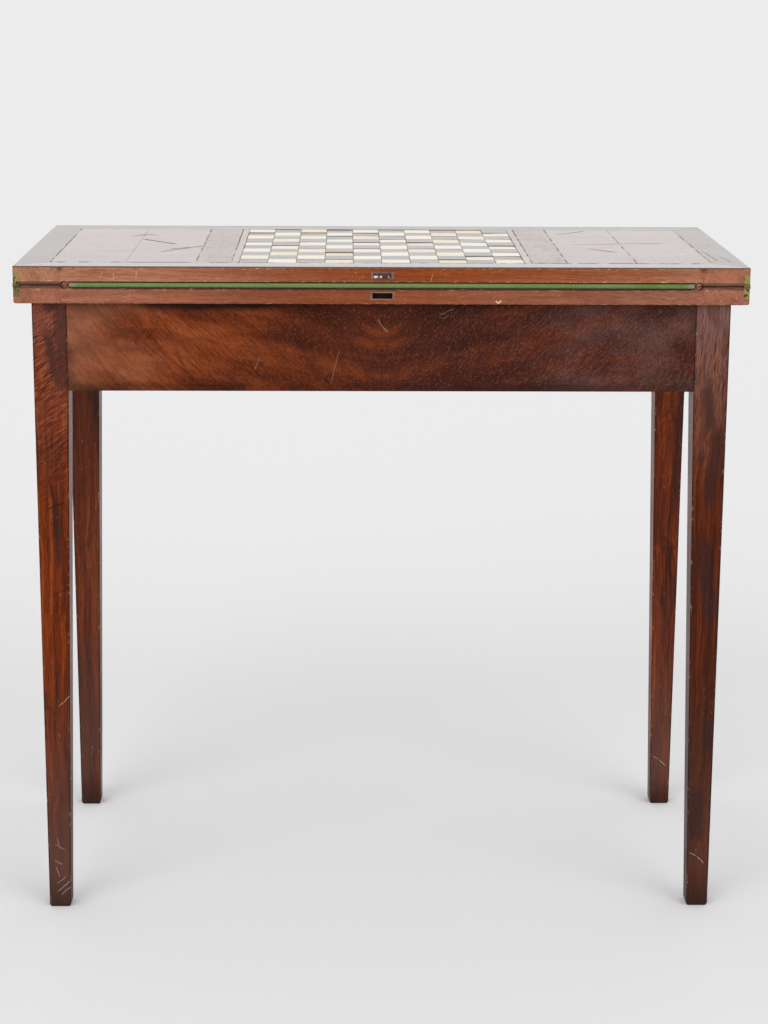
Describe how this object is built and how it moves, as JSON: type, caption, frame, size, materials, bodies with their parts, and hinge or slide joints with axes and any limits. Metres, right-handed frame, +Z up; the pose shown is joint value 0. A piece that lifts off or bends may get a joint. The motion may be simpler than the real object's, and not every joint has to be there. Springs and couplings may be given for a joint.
{
  "type": "fold-over games table",
  "caption": "Fold-over games table on square tapered legs: the inlaid top swivels over a storage well and unfolds on end hinges to a baize playing surface.",
  "frame": {"origin": "on the floor under the middle of the closed top", "axes": "+X along the table, -Y towards the hinge edge of the leaves, +Z up"},
  "size_m": [0.8, 0.388, 0.748],
  "materials": {
    "leg_wood": "worn polish",
    "apron_veneer": "worn polish",
    "frame_wood": "unpolished",
    "leaf_wood": "worn polish",
    "border_wood": "worn polish",
    "crossband_wood": "waxed gloss",
    "field_veneer": "waxed gloss",
    "bone": "polished bone",
    "dark_inlay": "polished",
    "baize": "wool baize",
    "hinge_brass": "tarnished",
    "steel": "worn"
  },
  "bodies": {
    "frame": {"apron_front": "frame_wood", "apron_left": "frame_wood", "apron_lippings": "apron_veneer", "apron_rear": "frame_wood", "apron_right": "frame_wood", "apron_veneer_front": "apron_veneer", "apron_veneer_left": "apron_veneer", "apron_veneer_rear": "apron_veneer", "apron_veneer_right": "apron_veneer", "leg_front_left": "leg_wood", "leg_front_right": "leg_wood", "leg_rear_left": "leg_wood", "leg_rear_right": "leg_wood", "pivot_board": "frame_wood", "well_bottom": "frame_wood"},
    "lower_leaf": {"baize_fold": "baize", "hinge_pins": "hinge_brass", "lower_baize": "baize", "lower_border_left": "border_wood", "lower_border_plugs": "leaf_wood", "lower_border_rear": "border_wood", "lower_border_right": "border_wood", "lower_clamp_left": "leaf_wood", "lower_clamp_right": "leaf_wood", "lower_hinge_left": "hinge_brass", "lower_hinge_right": "hinge_brass", "lower_hinge_screws": "hinge_brass", "lower_panel": "leaf_wood", "pivot_nut": "steel", "pivot_plate": "steel", "pivot_plate_screws": "steel", "pivot_stud": "steel", "pivot_washer": "steel", "slot_plate": "steel", "stop_peg": "frame_wood"},
    "upper_leaf": {"board_bands": "field_veneer", "board_edge_strips": "field_veneer", "catch_tongue": "steel", "crossband_front": "crossband_wood", "crossband_left": "crossband_wood", "crossband_rear": "crossband_wood", "crossband_right": "crossband_wood", "dark_squares": "dark_inlay", "field_left_inner": "field_veneer", "field_left_outer": "field_veneer", "field_right_inner": "field_veneer", "field_right_outer": "field_veneer", "light_squares": "bone", "tongue_plate": "steel", "upper_baize": "baize", "upper_border_left": "border_wood", "upper_border_plugs": "leaf_wood", "upper_border_rear": "border_wood", "upper_border_right": "border_wood", "upper_clamp_left": "leaf_wood", "upper_clamp_right": "leaf_wood", "upper_hinge_left": "hinge_brass", "upper_hinge_right": "hinge_brass", "upper_hinge_screws": "hinge_brass", "upper_panel": "leaf_wood"}
  },
  "joints": [
    {"name": "top_swivel", "type": "hinge", "parent": "frame", "child": "lower_leaf", "pos_m": [-0.096, -0.096, 0.7067], "axis": [0, 0, 1], "range_deg": [0, 90]},
    {"name": "leaf_fold", "type": "hinge", "parent": "lower_leaf", "child": "upper_leaf", "pos_m": [0, -0.19225, 0.7275], "axis": [1, 0, 0], "range_deg": [0, 180]}
  ]
}
